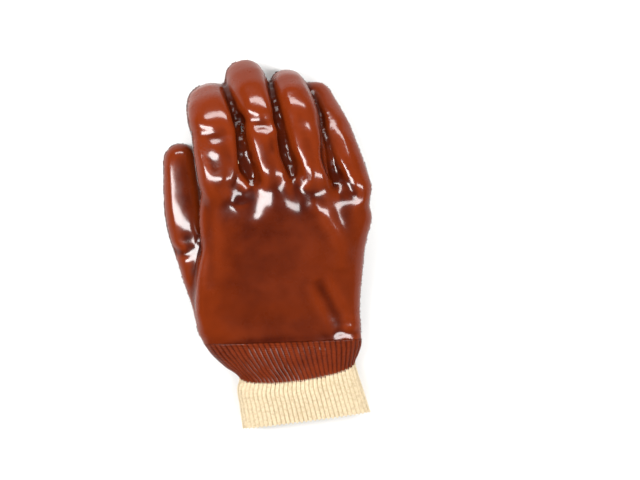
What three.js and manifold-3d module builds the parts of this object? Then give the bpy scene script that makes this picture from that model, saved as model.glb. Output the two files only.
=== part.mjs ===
// PVC coated work glove, a right-hand glove lying palm down on a surface.
// Millimetres. +Z is up, the fingers point along +Y and the thumb lies at -X.
// While it is built, y = 0 is the wrist seam and x = 0 the middle of the coated wrist.
import * as THREE from 'three';
import { mergeVertices } from 'three/addons/utils/BufferGeometryUtils.js';
import Module from 'manifold-3d';

const wasm = await Module();
wasm.setup();

// Driving sizes of the hand
const PALM_LENGTH = 114;
const PALM_WIDTH = 117;
const PALM_DEPTH = 37;
const KNUCKLE_HEIGHT = 50;
const COAT_WALL = 2.0;
// How far the hollow is carried out past the mouth, where it is cut open
const MOUTH_RUN = 6;

// Driving sizes of the wrist
const SEAM_SLANT = -0.095;
const CUFF_LENGTH = 55;
const CUFF_WIDTH = 88;
const CUFF_HEIGHT = 27;
const BAND_LENGTH = 21;
const BAND_DIP = 7;
const BAND_WIDTH = 80;
// How far the little finger's side of the wrist draws in along the coated band
const BAND_DRAW = 6.7;
const BAND_WALL = 1.2;
const KNIT_WALL = 1.7;
const SEAM_TUCK = 4;
const RIB_COUNT = 64;
const RIB_DEPTH = 0.6;
const CLEARANCE = 0.5;
const TUCK_CLEARANCE = 1.1;

// Lengths, widths and depths of the fingers, over the coat
const INDEX_LENGTH = 74;
const INDEX_WIDTH = 31;
const INDEX_DEPTH = 26;
const MIDDLE_LENGTH = 84;
const MIDDLE_WIDTH = 28;
const MIDDLE_DEPTH = 26;
const RING_LENGTH = 79;
const RING_WIDTH = 25.5;
const RING_DEPTH = 26;
const LITTLE_LENGTH = 75;
const LITTLE_WIDTH = 23;
const LITTLE_DEPTH = 22.5;
const THUMB_LENGTH = 104;
const THUMB_WIDTH = 25;
const THUMB_DEPTH = 26;

// Fineness and squareness of the sections
const FINGER_SIDES = 20;
const FINGER_LINER_SIDES = 12;
const PALM_SIDES = 46;
const PALM_LINER_SIDES = 30;
const WRIST_LINER_SIDES = RIB_COUNT;
const OUTLINE_STEPS = 720;
const PATH_STEPS = 60;
// Grid that the vertices of the joined hand are rounded to
const WELD = 0.02;
const PALM_POWER = 2.5;
const FINGER_POWER = 2.3;
const WRIST_POWER = 2.5;

// Sections of the palm, from the wrist seam to the finger roots.
// along, lag: shares of PALM_LENGTH. left, right: shares of PALM_WIDTH.
// middle, fall: shares of KNUCKLE_HEIGHT. thick: share of PALM_DEPTH.
// lag holds the little finger's side back, and fall lets that side hang lower,
// with THUMB_SIDE_FALL of it on the thumb's side. LAG_POWER bends the row of knuckles.
const PALM_SECTIONS = [
  { along: 0.00, left: -0.547, right: 0.373, middle: 0.32, thick: 0.84, fall: 0.00, lag: 0.00 },
  { along: 0.12, left: -0.574, right: 0.383, middle: 0.37, thick: 0.92, fall: 0.02, lag: 0.00 },
  { along: 0.25, left: -0.583, right: 0.403, middle: 0.45, thick: 1.00, fall: 0.04, lag: 0.00 },
  { along: 0.37, left: -0.570, right: 0.431, middle: 0.54, thick: 1.03, fall: 0.07, lag: 0.00 },
  { along: 0.49, left: -0.528, right: 0.451, middle: 0.64, thick: 1.02, fall: 0.10, lag: 0.02 },
  { along: 0.61, left: -0.487, right: 0.480, middle: 0.74, thick: 0.99, fall: 0.13, lag: 0.05 },
  { along: 0.74, left: -0.474, right: 0.512, middle: 0.84, thick: 0.95, fall: 0.16, lag: 0.10 },
  { along: 0.84, left: -0.462, right: 0.526, middle: 0.90, thick: 0.89, fall: 0.18, lag: 0.15 },
  { along: 0.92, left: -0.448, right: 0.515, middle: 0.92, thick: 0.76, fall: 0.19, lag: 0.18 },
  { along: 0.97, left: -0.430, right: 0.500, middle: 0.91, thick: 0.56, fall: 0.19, lag: 0.19 },
  { along: 1.00, left: -0.400, right: 0.470, middle: 0.90, thick: 0.30, fall: 0.19, lag: 0.20 },
];
const THUMB_SIDE_FALL = 0.4;
const LAG_POWER = 1.5;
// The hollow's front end stays this many walls behind the palm's, from WEB_FROM of the way on.
const HOLLOW_BACK = 3.6;
const WEB_FROM = 0.8;

// Dents in the back of the hand, between the knuckles.
// across, reach_x: shares of PALM_WIDTH. along, reach_y, sink: shares of PALM_LENGTH.
const DENTS = [
  { across: -0.15, along: 0.88, reach_x: 0.06, reach_y: 0.10, sink: 0.040 },
  { across: 0.13, along: 0.86, reach_x: 0.06, reach_y: 0.09, sink: 0.028 },
  { across: 0.36, along: 0.74, reach_x: 0.07, reach_y: 0.09, sink: 0.030 },
];

// The fingers. across: share of PALM_WIDTH. along: share of PALM_LENGTH.
// height: share of KNUCKLE_HEIGHT. Each bone has its share of the finger's length,
// its pitch below level before the curl is fitted, and its heading towards +X, in degrees.
// root_wide, root_deep: the section at the root, as shares of the one at the tip.
// roll turns the finger's back towards +X, in degrees. sunk: share of the first bone
// by which the finger reaches into the palm, where it heads as from says, in degrees.
const FINGERS = [
  {
    across: -0.286, along: 1.00, height: 0.95, length: INDEX_LENGTH,
    width: INDEX_WIDTH, depth: INDEX_DEPTH, root_wide: 1.17, root_deep: 1.08,
    roll: -3, sunk: 0.6, from: 2,
    bones: [
      { share: 0.48, pitch: 7, heading: -4 },
      { share: 0.29, pitch: 38, heading: -6 },
      { share: 0.23, pitch: 68, heading: -5 },
    ],
  },
  {
    across: -0.012, along: 1.00, height: 0.98, length: MIDDLE_LENGTH,
    width: MIDDLE_WIDTH, depth: MIDDLE_DEPTH, root_wide: 0.90, root_deep: 1.10,
    roll: 0, sunk: 0.6, from: 0,
    bones: [
      { share: 0.44, pitch: 8, heading: -5 },
      { share: 0.31, pitch: 32, heading: -13 },
      { share: 0.25, pitch: 58, heading: -17 },
    ],
  },
  {
    across: 0.205, along: 0.965, height: 0.95, length: RING_LENGTH,
    width: RING_WIDTH, depth: RING_DEPTH, root_wide: 1.07, root_deep: 1.12,
    roll: 28, sunk: 0.6, from: 4,
    bones: [
      { share: 0.44, pitch: 8, heading: -3 },
      { share: 0.30, pitch: 27, heading: -13 },
      { share: 0.26, pitch: 62, heading: -16 },
    ],
  },
  {
    across: 0.430, along: 0.86, height: 0.81, length: LITTLE_LENGTH,
    width: LITTLE_WIDTH, depth: LITTLE_DEPTH, root_wide: 1.08, root_deep: 1.13,
    roll: 40, sunk: 0.6, from: 12,
    bones: [
      { share: 0.42, pitch: 14, heading: -9 },
      { share: 0.28, pitch: 29, heading: -18 },
      { share: 0.30, pitch: 36, heading: -19 },
    ],
  },
  {
    across: -0.425, along: 0.26, height: 0.37, length: THUMB_LENGTH,
    width: THUMB_WIDTH, depth: THUMB_DEPTH, root_wide: 1.42, root_deep: 1.20,
    roll: -12, sunk: 0.35, from: -15,
    bones: [
      { share: 0.345, pitch: 1, heading: -15 },
      { share: 0.27, pitch: 3, heading: -10 },
      { share: 0.385, pitch: 4, heading: 1 },
    ],
  },
];

// Sections along a finger, from its root to the middle of its rounded tip.
// along: share of the way. wide, deep: shares of the plain taper there.
// The dip halfway is the crease of the middle joint.
const FINGER_SECTIONS = [
  { along: -0.24, wide: 0.80, deep: 0.72 },
  { along: -0.10, wide: 0.93, deep: 0.90 },
  { along: 0.00, wide: 1.01, deep: 1.01 },
  { along: 0.25, wide: 1.00, deep: 1.01 },
  { along: 0.47, wide: 0.96, deep: 0.92 },
  { along: 0.57, wide: 1.02, deep: 0.98 },
  { along: 0.70, wide: 1.03, deep: 0.99 },
  { along: 0.85, wide: 1.01, deep: 0.98 },
  { along: 1.00, wide: 0.96, deep: 0.98 },
];
// How steeply a finger's root dives into the palm, as a rise over a run
const ROOT_DIVE = 0.26;
// The hollow of a finger starts at this share of the finger's own reach into the palm.
const HOLLOW_ROOT = 0.6;
// Share of the first bone at which the finger still runs straight
const STRAIGHT_SHARE = 0.55;
// Turns of the rounded tip, in degrees from the last section to the end
const TIP_TURNS = [28, 54, 76];
// The search for the curl at which a fingertip rests: its limit and its halvings
const CURL_LIMIT = 2.4;
const CURL_HALVINGS = 24;

// How the coated band draws in from the hand's mouth to its own width, with its ribs.
// down: share of the way from the seam to the dip line. left, right, round: shares drawn in.
// cuff: whether the cuff below has a section there too.
const BAND_SECTIONS = [
  { down: 0.00, left: 0.00, right: 0.00, round: 0.00, ribs: 0.15, cuff: true },
  { down: 0.28, left: 0.22, right: 0.16, round: 0.25, ribs: 1.00, cuff: false },
  { down: 0.62, left: 0.56, right: 0.52, round: 0.65, ribs: 1.00, cuff: true },
  { down: 1.00, left: 1.00, right: 1.00, round: 1.00, ribs: 1.00, cuff: true },
];
// The bare cuff below the dip line. down: share of the way from there to the hem.
// wide: share of CUFF_WIDTH. high: share of CUFF_HEIGHT. lean: share of CUFF_WIDTH.
const CUFF_SECTIONS = [
  { down: 0.16, wide: 0.940, high: 1.03, lean: -0.008 },
  { down: 1.00, wide: 1.000, high: 0.93, lean: 0.020 },
];
// How far the cuff's lowest ribs are pressed flat by its rest
const REST_SINK = 1.1;

// The outline of a section as evenly spaced points, with their outward directions.
function evenOutline(section, power, count) {
  const halfWidth = (section.right - section.left) / 2;
  const halfHeight = (section.high - section.low) / 2;
  const centre = new THREE.Vector2((section.left + section.right) / 2, (section.low + section.high) / 2);
  const dense = [];
  for (let i = 0; i <= OUTLINE_STEPS; i++) {
    const turn = (2 * Math.PI * i) / OUTLINE_STEPS;
    const c = Math.cos(turn);
    const s = Math.sin(turn);
    dense.push(new THREE.Vector2(
      centre.x + halfWidth * Math.sign(c) * Math.abs(c) ** (2 / power),
      centre.y + halfHeight * Math.sign(s) * Math.abs(s) ** (2 / power),
    ));
  }
  const walked = [0];
  for (let i = 1; i < dense.length; i++) {
    walked.push(walked[i - 1] + dense[i].distanceTo(dense[i - 1]));
  }
  const whole = walked[walked.length - 1];
  const points = [];
  let k = 0;
  for (let i = 0; i < count; i++) {
    const target = (whole * i) / count;
    while (walked[k + 1] < target) k++;
    const part = (target - walked[k]) / Math.max(walked[k + 1] - walked[k], 1e-9);
    points.push(dense[k].clone().lerp(dense[k + 1], part));
  }
  return points.map((point, i) => {
    const along = points[(i + 1) % count].clone().sub(points[(i + count - 1) % count]).normalize();
    return { point, out: new THREE.Vector2(along.y, -along.x) };
  });
}

// A closed body from rings of points, capped at both ends.
function loft(rings) {
  const sides = rings[0].length;
  const vertices = rings.flat();
  const faces = [];
  for (let r = 0; r < rings.length - 1; r++) {
    for (let i = 0; i < sides; i++) {
      const j = (i + 1) % sides;
      const a = r * sides + i;
      const b = r * sides + j;
      const c = (r + 1) * sides + j;
      const d = (r + 1) * sides + i;
      faces.push([a, c, b], [a, d, c]);
    }
  }
  for (const [r, flip] of [[0, false], [rings.length - 1, true]]) {
    const middle = rings[r].reduce((sum, p) => sum.add(p), new THREE.Vector3()).divideScalar(sides);
    vertices.push(middle);
    for (let i = 0; i < sides; i++) {
      const a = r * sides + i;
      const b = r * sides + ((i + 1) % sides);
      faces.push(flip ? [b, a, vertices.length - 1] : [a, b, vertices.length - 1]);
    }
  }
  return { vertices, faces };
}

// A tube from outer rings and coarser inner rings, joined at both ends.
function tube(outer, inner) {
  const vertices = [...outer.flat(), ...inner.flat()];
  const faces = [];
  const skin = (rings, start, flip) => {
    const sides = rings[0].length;
    for (let r = 0; r < rings.length - 1; r++) {
      for (let i = 0; i < sides; i++) {
        const j = (i + 1) % sides;
        const [a, b] = [start + r * sides + i, start + r * sides + j];
        const [c, d] = [start + (r + 1) * sides + j, start + (r + 1) * sides + i];
        faces.push(...(flip ? [[a, c, b], [a, d, c]] : [[a, b, c], [a, c, d]]));
      }
    }
  };
  const innerStart = outer.flat().length;
  skin(outer, 0, false);
  skin(inner, innerStart, true);
  const fine = outer[0].length;
  const coarse = inner[0].length;
  const ratio = fine / coarse;
  const rim = (outerRow, innerRow, flip) => {
    for (let i = 0; i < coarse; i++) {
      const inHere = innerStart + innerRow * coarse + i;
      const inNext = innerStart + innerRow * coarse + ((i + 1) % coarse);
      const turn = Math.floor(ratio / 2);
      for (let k = 0; k < ratio; k++) {
        const a = outerRow * fine + i * ratio + k;
        const b = outerRow * fine + ((i * ratio + k + 1) % fine);
        const from = k < turn ? inHere : inNext;
        faces.push(flip ? [a, from, b] : [a, b, from]);
        if (k === turn) faces.push(flip ? [a, inHere, inNext] : [a, inNext, inHere]);
      }
    }
  };
  rim(0, 0, true);
  rim(outer.length - 1, inner.length - 1, false);
  return { vertices, faces };
}

function toGeometry({ vertices, faces }) {
  const geometry = new THREE.BufferGeometry();
  const places = vertices.flatMap((v) => v.toArray());
  geometry.setAttribute('position', new THREE.Float32BufferAttribute(places, 3));
  geometry.setIndex(faces.flat());
  return geometry;
}

function toSolid(body) {
  const geometry = mergeVertices(toGeometry(body), 1e-5);
  return new wasm.Manifold(new wasm.Mesh({
    numProp: 3,
    vertProperties: new Float32Array(geometry.getAttribute('position').array),
    triVerts: new Uint32Array(geometry.getIndex().array),
  }));
}

// The joined hand, with the slivers that the joins leave welded away.
function fromSolid(solid) {
  const mesh = solid.getMesh();
  const rough = new THREE.BufferGeometry();
  const snapped = Array.from(mesh.vertProperties, (value) => Math.round(value / WELD) * WELD);
  rough.setAttribute('position', new THREE.Float32BufferAttribute(snapped, 3));
  rough.setIndex(Array.from(mesh.triVerts));
  const geometry = mergeVertices(rough, WELD / 10);
  const index = geometry.getIndex().array;
  const kept = new Map();
  for (let i = 0; i < index.length; i += 3) {
    const face = [index[i], index[i + 1], index[i + 2]];
    if (new Set(face).size < 3) continue;
    const key = [...face].sort((a, b) => a - b).join();
    if (kept.has(key)) kept.delete(key);
    else kept.set(key, face);
  }
  geometry.setIndex(mainBody([...kept.values()]).flat());
  return geometry;
}

// The largest set of faces that share edges, without the specks that a join leaves.
function mainBody(faces) {
  const neighbours = new Map();
  const edgesOf = ([a, b, c]) => [[a, b], [b, c], [c, a]]
    .map(([p, q]) => `${Math.min(p, q)} ${Math.max(p, q)}`);
  for (const face of faces) {
    for (const edge of edgesOf(face)) {
      neighbours.set(edge, [...(neighbours.get(edge) ?? []), face]);
    }
  }
  const seen = new Set();
  let largest = [];
  for (const start of faces) {
    if (seen.has(start)) continue;
    seen.add(start);
    const body = [start];
    for (let i = 0; i < body.length; i++) {
      for (const next of edgesOf(body[i]).flatMap((edge) => neighbours.get(edge))) {
        if (seen.has(next)) continue;
        seen.add(next);
        body.push(next);
      }
    }
    if (body.length > largest.length) largest = body;
  }
  return largest;
}

// The slanted wrist seam
const seamAt = (x) => SEAM_SLANT * x;

// The sizes of one palm section, drawn in by an inset.
function palmSection(row, inset) {
  const half = (row.thick * PALM_DEPTH) / 2;
  return {
    left: row.left * PALM_WIDTH + inset,
    right: row.right * PALM_WIDTH - inset,
    low: row.middle * KNUCKLE_HEIGHT - half + inset,
    high: row.middle * KNUCKLE_HEIGHT + half - inset,
  };
}

function dentAt(x, y) {
  return DENTS.reduce((sum, dent) => {
    const u = (x - dent.across * PALM_WIDTH) / (dent.reach_x * PALM_WIDTH);
    const v = (y - dent.along * PALM_LENGTH) / (dent.reach_y * PALM_LENGTH);
    return sum + dent.sink * PALM_LENGTH * Math.exp(-u * u - v * v);
  }, 0);
}

function palmRing(row, inset, sides, shift = 0) {
  const section = palmSection(row, inset);
  const centre = (section.left + section.right) / 2;
  const half = (section.right - section.left) / 2;
  const middle = row.middle * KNUCKLE_HEIGHT;
  return evenOutline(section, PALM_POWER, sides).map(({ point }) => {
    const u = (point.x - centre) / half;
    const fall = row.fall * KNUCKLE_HEIGHT * (u > 0 ? 1 : THUMB_SIDE_FALL) * u * u;
    const lag = row.lag * PALM_LENGTH * Math.max(u, 0) ** LAG_POWER;
    const y = row.along * PALM_LENGTH - lag + shift + (row.along === 0 ? seamAt(point.x) : 0);
    const sink = point.y > middle ? dentAt(point.x, y) : 0;
    return new THREE.Vector3(point.x, y, point.y - fall - sink);
  });
}

function palmBody(inset, sides) {
  // The hollow stays behind the webs between the fingers.
  const back = (row) => -inset * HOLLOW_BACK * THREE.MathUtils.smoothstep(row.along, WEB_FROM, 1);
  const rings = PALM_SECTIONS.map((row) => palmRing(row, inset, sides, back(row)));
  // The hollow runs out past the slanted mouth.
  if (inset > 0) rings.unshift(palmRing(PALM_SECTIONS[0], inset, sides, -MOUTH_RUN));
  return loft(rings);
}

// The middle line of a finger, from inside the palm to the middle of its tip.
function fingerPath(finger, curl) {
  const root = new THREE.Vector3(
    finger.across * PALM_WIDTH,
    finger.along * PALM_LENGTH,
    finger.height * KNUCKLE_HEIGHT,
  );
  const step = (bone, share) => {
    const pitch = THREE.MathUtils.degToRad(bone.pitch * curl);
    const heading = THREE.MathUtils.degToRad(bone.heading);
    return new THREE.Vector3(
      Math.sin(heading) * Math.cos(pitch),
      Math.cos(heading) * Math.cos(pitch),
      -Math.sin(pitch),
    ).multiplyScalar(bone.share * share * finger.length);
  };
  const first = finger.bones[0];
  const back = step({ ...first, heading: finger.from }, -finger.sunk);
  back.z -= ROOT_DIVE * Math.abs(back.y);
  const points = [root.clone().add(back), root.clone(), root.clone().add(step(first, STRAIGHT_SHARE))];
  let joint = root.clone();
  for (const bone of finger.bones) {
    joint = joint.clone().add(step(bone, 1));
    points.push(joint);
  }
  return new THREE.CatmullRomCurve3(points, false, 'centripetal');
}

// The path's own share at a share of the way from the root to the tip.
function pathShare(path, along) {
  const lengths = path.getLengths(PATH_STEPS);
  const whole = lengths[PATH_STEPS];
  const toRoot = path.points[0].distanceTo(path.points[1]);
  return THREE.MathUtils.clamp((toRoot + along * (whole - toRoot)) / whole, 0, 1);
}

function fingerRings(finger, curl, inset, sides) {
  const path = fingerPath(finger, curl);
  const up = new THREE.Vector3(0, 0, 1);
  const roll = THREE.MathUtils.degToRad(finger.roll);
  const ringAt = (centre, ahead, halfWide, halfDeep) => {
    const side = ahead.clone().cross(up).normalize();
    const rise = side.clone().cross(ahead).normalize();
    const wide = side.clone().multiplyScalar(Math.cos(roll)).addScaledVector(rise, -Math.sin(roll));
    const deep = rise.clone().multiplyScalar(Math.cos(roll)).addScaledVector(side, Math.sin(roll));
    const outline = { left: -halfWide, right: halfWide, low: -halfDeep, high: halfDeep };
    return evenOutline(outline, FINGER_POWER, sides).map(({ point }) => centre.clone()
      .addScaledVector(wide, point.x).addScaledVector(deep, point.y));
  };
  const sizeAt = (row) => {
    const share = Math.max(row.along, 0);
    return {
      wide: (row.wide * finger.width * THREE.MathUtils.lerp(finger.root_wide, 1, share)) / 2 - inset,
      deep: (row.deep * finger.depth * THREE.MathUtils.lerp(finger.root_deep, 1, share)) / 2 - inset,
    };
  };
  const rings = FINGER_SECTIONS.map((row) => {
    const at = pathShare(path, inset > 0 && row.along < 0 ? row.along * HOLLOW_ROOT : row.along);
    const size = sizeAt(row);
    return ringAt(path.getPointAt(at), path.getTangentAt(at), size.wide, size.deep);
  });
  const end = path.getPointAt(1);
  const ahead = path.getTangentAt(1);
  const last = sizeAt(FINGER_SECTIONS[FINGER_SECTIONS.length - 1]);
  for (const degrees of TIP_TURNS) {
    const turn = THREE.MathUtils.degToRad(degrees);
    const centre = end.clone().addScaledVector(ahead, last.deep * Math.sin(turn));
    rings.push(ringAt(centre, ahead, last.wide * Math.cos(turn), last.deep * Math.cos(turn)));
  }
  const body = loft(rings);
  body.vertices[body.vertices.length - 1].copy(end).addScaledVector(ahead, last.deep);
  return body;
}

// A finger bends at its joints until its tip rests on the surface, z = 0.
function restingCurl(finger) {
  const lowest = (curl) => Math.min(
    ...fingerRings(finger, curl, 0, FINGER_SIDES).vertices.map((v) => v.z),
  );
  let [flat, bent] = [0, CURL_LIMIT];
  for (let i = 0; i < CURL_HALVINGS; i++) {
    const curl = (flat + bent) / 2;
    if (lowest(curl) > 0) flat = curl;
    else bent = curl;
  }
  return flat;
}

function handShell() {
  const curls = FINGERS.map(restingCurl);
  const join = (inset, palmSides, fingerSides) => FINGERS.reduce(
    (whole, finger, i) => whole.add(toSolid(fingerRings(finger, curls[i], inset, fingerSides))),
    toSolid(palmBody(inset, palmSides)),
  );
  const outside = join(0, PALM_SIDES, FINGER_SIDES);
  const hollow = join(COAT_WALL, PALM_LINER_SIDES, FINGER_LINER_SIDES);
  return fromSolid(outside.subtract(hollow));
}

// The outside of the coated wrist: from the hand's mouth to the band's own end.
function bandSection(down) {
  const k = Math.max(BAND_SECTIONS.findLastIndex((row) => row.down <= down), 0);
  const here = BAND_SECTIONS[k];
  const next = BAND_SECTIONS[Math.min(k + 1, BAND_SECTIONS.length - 1)];
  const part = next === here ? 0 : (down - here.down) / (next.down - here.down);
  const mix = (name) => THREE.MathUtils.lerp(here[name], next[name], part);
  const mouth = palmSection(PALM_SECTIONS[0], 0);
  const middle = mouth.right - BAND_DRAW - BAND_WIDTH / 2;
  return {
    left: THREE.MathUtils.lerp(mouth.left, middle - BAND_WIDTH / 2, mix('left')),
    right: THREE.MathUtils.lerp(mouth.right, middle + BAND_WIDTH / 2, mix('right')),
    low: THREE.MathUtils.lerp(mouth.low, 0, mix('round')),
    high: THREE.MathUtils.lerp(mouth.high, CUFF_HEIGHT, mix('round')),
    ribs: mix('ribs'),
    middle,
  };
}

const drawIn = (section, inset) => ({
  ...section,
  left: section.left + inset,
  right: section.right - inset,
  low: section.low + inset,
  high: section.high - inset,
});

// A ring of the wrist. yAt places each point along the glove, and ribs sinks every second one.
function wristRing(section, sides, ribDepth, yAt) {
  return evenOutline(section, WRIST_POWER, sides).map(({ point, out }, i) => {
    const sunk = point.clone().addScaledVector(out, i % 2 ? -ribDepth : 0);
    return new THREE.Vector3(sunk.x, yAt(point), Math.max(sunk.y, 0));
  });
}

// The dip line sags in the middle of the back and of the palm side.
function dipAt(point, section) {
  const half = (section.right - section.left) / 2;
  const u = Math.min(Math.abs((point.x - section.middle) / half), 1);
  return seamAt(section.middle) - BAND_LENGTH - BAND_DIP * Math.sqrt(1 - u * u);
}

// Places a point between the wrist seam and the dip line.
const downTo = (section, down) => (point) => THREE.MathUtils.lerp(
  seamAt(point.x) - CLEARANCE,
  dipAt(point, section),
  down,
);

function bandShell() {
  const ringOf = (inset, sides, ribs) => BAND_SECTIONS.map((row) => {
    const section = drawIn(bandSection(row.down), inset);
    return wristRing(section, sides, ribs ? RIB_DEPTH * row.ribs : 0, downTo(section, row.down));
  });
  return toGeometry(tube(ringOf(0, 2 * RIB_COUNT, true), ringOf(BAND_WALL, WRIST_LINER_SIDES, false)));
}

function cuffShell() {
  const underBand = BAND_WALL + CLEARANCE;
  const underHand = COAT_WALL + TUCK_CLEARANCE;
  const ringsOf = (inset, sides, ribs) => {
    const depth = ribs ? RIB_DEPTH : 0;
    const mouth = drawIn(palmSection(PALM_SECTIONS[0], 0), underHand + inset);
    const rings = [wristRing(mouth, sides, depth, (p) => seamAt(p.x) + SEAM_TUCK)];
    for (const row of BAND_SECTIONS.filter((each) => each.cuff)) {
      const cover = row.down > 0 ? underBand : underHand;
      const section = drawIn(bandSection(row.down), cover + inset);
      rings.push(wristRing(section, sides, depth, downTo(section, row.down)));
    }
    const end = bandSection(1);
    const hem = seamAt(0) - CUFF_LENGTH;
    for (const row of CUFF_SECTIONS) {
      const middle = end.middle + row.lean * CUFF_WIDTH;
      const half = (row.wide * CUFF_WIDTH) / 2;
      const section = drawIn({
        left: middle - half,
        right: middle + half,
        low: ribs ? -REST_SINK : 0,
        high: row.high * CUFF_HEIGHT,
        middle,
      }, inset);
      const yAt = (p) => THREE.MathUtils.lerp(dipAt(p, section), hem, row.down);
      rings.push(wristRing(section, sides, depth, yAt));
    }
    return rings;
  };
  return toGeometry(tube(ringsOf(0, 2 * RIB_COUNT, true), ringsOf(KNIT_WALL, WRIST_LINER_SIDES, false)));
}

function pieceOf(name, geometry, material) {
  const plain = mergeVertices(geometry, 1e-4);
  plain.computeVertexNormals();
  const mesh = new THREE.Mesh(plain, material);
  mesh.name = name;
  return mesh;
}

const pvc = new THREE.MeshStandardMaterial({ color: 0x7d2a12, roughness: 0.2, metalness: 0 });
const coatedRib = new THREE.MeshStandardMaterial({ color: 0x86331b, roughness: 0.3, metalness: 0 });
const cotton = new THREE.MeshStandardMaterial({ color: 0xe9dcc0, roughness: 0.95, metalness: 0 });

const glove = new THREE.Group();
glove.name = 'pvc_coated_work_glove';
glove.add(
  pieceOf('pvc_hand', handShell(), pvc),
  pieceOf('pvc_rib_band', bandShell(), coatedRib),
  pieceOf('knit_cuff', cuffShell(), cotton),
);

// The origin is the middle of the glove's underside.
const bounds = new THREE.Box3().setFromObject(glove);
const centre = bounds.getCenter(new THREE.Vector3());
glove.position.set(-centre.x, -centre.y, -bounds.min.z);
glove.updateMatrixWorld(true);

export default glove;
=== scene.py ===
"""A PVC coated work glove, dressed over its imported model.

The hand's glossy coat, its rough grip, the coated ribs of the wrist and the knitted cuff
are each a piece of their own. Lengths are in metres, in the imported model's frame.
"""

import math
from collections import namedtuple

import bmesh
import bpy
import numpy as np
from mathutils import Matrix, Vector, noise
from mathutils.bvhtree import BVHTree


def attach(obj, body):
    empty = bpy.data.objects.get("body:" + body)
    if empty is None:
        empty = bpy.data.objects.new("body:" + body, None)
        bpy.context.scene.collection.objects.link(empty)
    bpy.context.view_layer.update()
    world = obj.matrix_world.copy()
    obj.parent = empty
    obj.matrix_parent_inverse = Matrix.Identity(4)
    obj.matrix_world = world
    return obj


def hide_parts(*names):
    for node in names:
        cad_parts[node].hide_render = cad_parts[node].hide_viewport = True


bl_info = {
    "name": "PVC Coated Work Glove",
    "version": (1, 0, 0),
    "blender": (4, 5, 0),
    "location": "View3D > Sidebar > Work Glove",
    "description": "Dresses a dipped work glove with its coat, grip, coated ribs and knitted cuff",
    "category": "Object",
}

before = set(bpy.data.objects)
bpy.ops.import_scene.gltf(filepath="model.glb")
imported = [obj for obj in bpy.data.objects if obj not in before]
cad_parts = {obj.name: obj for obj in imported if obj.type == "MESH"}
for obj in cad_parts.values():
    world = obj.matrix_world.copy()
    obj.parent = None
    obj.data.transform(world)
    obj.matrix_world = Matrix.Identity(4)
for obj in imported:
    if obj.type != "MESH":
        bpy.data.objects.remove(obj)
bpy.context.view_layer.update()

MM = 0.001
# The middle of the wrist seam, and how far the seam drops for each step towards +X
SEAM_MIDDLE = Vector((0.00768, -0.07049, 0.0))
SEAM_SLANT = -0.095

# A fold in the skin, seen from above, in millimetres of the frame.
# sink: depth of the groove. reach: half its width. lip: height of the ridges beside it.
# step: how far the side to the left of the path's run stands over the other side.
Fold = namedtuple("Fold", "path sink reach lip step", defaults=(0.0, 0.0))

# Loose skin behind the index finger's middle joint, where the coat is finely wrinkled
INDEX_WRINKLES = [
    Fold([(-43, 72), (-36, 66), (-31, 58), (-29, 49)], sink=0.8, reach=3.4, lip=0.3),
    Fold([(-40, 63), (-34, 57), (-32, 48)], sink=0.5, reach=2.6, lip=0.2),
]

# Folds on the back of the hand
FOLDS = [
    # the index finger's middle joint
    Fold([(-48, 80), (-41, 76.5), (-33, 74), (-26, 74.5), (-19, 78)],
         sink=1.8, reach=5.2, lip=0.3, step=0.2),
    *INDEX_WRINKLES,
    # the middle finger's middle joint, and the ridge that runs back from it
    Fold([(-14, 87), (-9, 82.5), (0, 79), (8, 78), (16, 81)], sink=2.0, reach=5.0, lip=0.3, step=0.2),
    Fold([(9, 76), (10, 68), (9, 56)], sink=0.9, reach=3.6, lip=0.3),
    Fold([(-11, 74), (-10, 64), (-10, 54)], sink=0.8, reach=3.4, lip=0.2),
    # ring and little fingers: faint joints
    Fold([(26, 80), (34, 76), (42, 76), (49, 73)], sink=0.8, reach=5.0, lip=0.25),
    Fold([(52, 74), (60, 69), (68, 66)], sink=0.5, reach=4.5, lip=0.2),
    # valleys that run down from between the fingers into the back of the hand
    Fold([(-10, 62), (-13, 50), (-18, 38), (-16, 26)], sink=3.2, reach=5.2, lip=0.2),
    Fold([(-6, 54), (-4, 44), (-3, 37)], sink=1.5, reach=2.8, lip=0.2),
    Fold([(13, 70), (16, 56), (22, 46), (27, 34)], sink=2.6, reach=5.0, lip=0.2),
    Fold([(42, 58), (46, 44), (54, 30), (62, 17)], sink=2.8, reach=5.0, lip=0.2),
    # the hand folds over the root of the thumb
    Fold([(-47, 9), (-49.5, 2), (-53, -6), (-56.5, -19), (-59.5, -32), (-61, -44), (-58, -56)],
         sink=1.6, reach=3.4, lip=0.3, step=0.8),
    # creases in the web of the thumb
    Fold([(-73, 5), (-66, 0.5), (-60, -1), (-54, 4)], sink=1.7, reach=3.6, lip=0.4, step=0.2),
    Fold([(-64, 10), (-60, 7), (-54, 9)], sink=0.7, reach=3.0, lip=0.2),
    # the back rises a little along the thumb's side
    Fold([(-40, 34), (-43, 16), (-45, -4), (-46, -28)], sink=1.3, reach=5.0, lip=0.5, step=-0.5),
    # a low ridge and two dents that the soft back keeps
    Fold([(28, 24), (35, 13), (42, 0), (45, -12), (44, -26)], sink=-1.5, reach=6.0, lip=-0.5),
    Fold([(-44, -40), (-30, -52), (-8, -57), (16, -58), (30, -50)], sink=0.9, reach=10.0, lip=0.3),
    Fold([(26, -30), (32, -46), (37, -60), (35, -70)], sink=1.7, reach=4.4, lip=0.6),
    # small wrinkles where the wrist is sewn on
    Fold([(32, -70), (39, -67.5), (46, -70), (53, -68)], sink=0.7, reach=2.2, lip=0.3),
    Fold([(36, -64), (43, -62.5), (50, -64)], sink=0.4, reach=2.0, lip=0.2),
]

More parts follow.
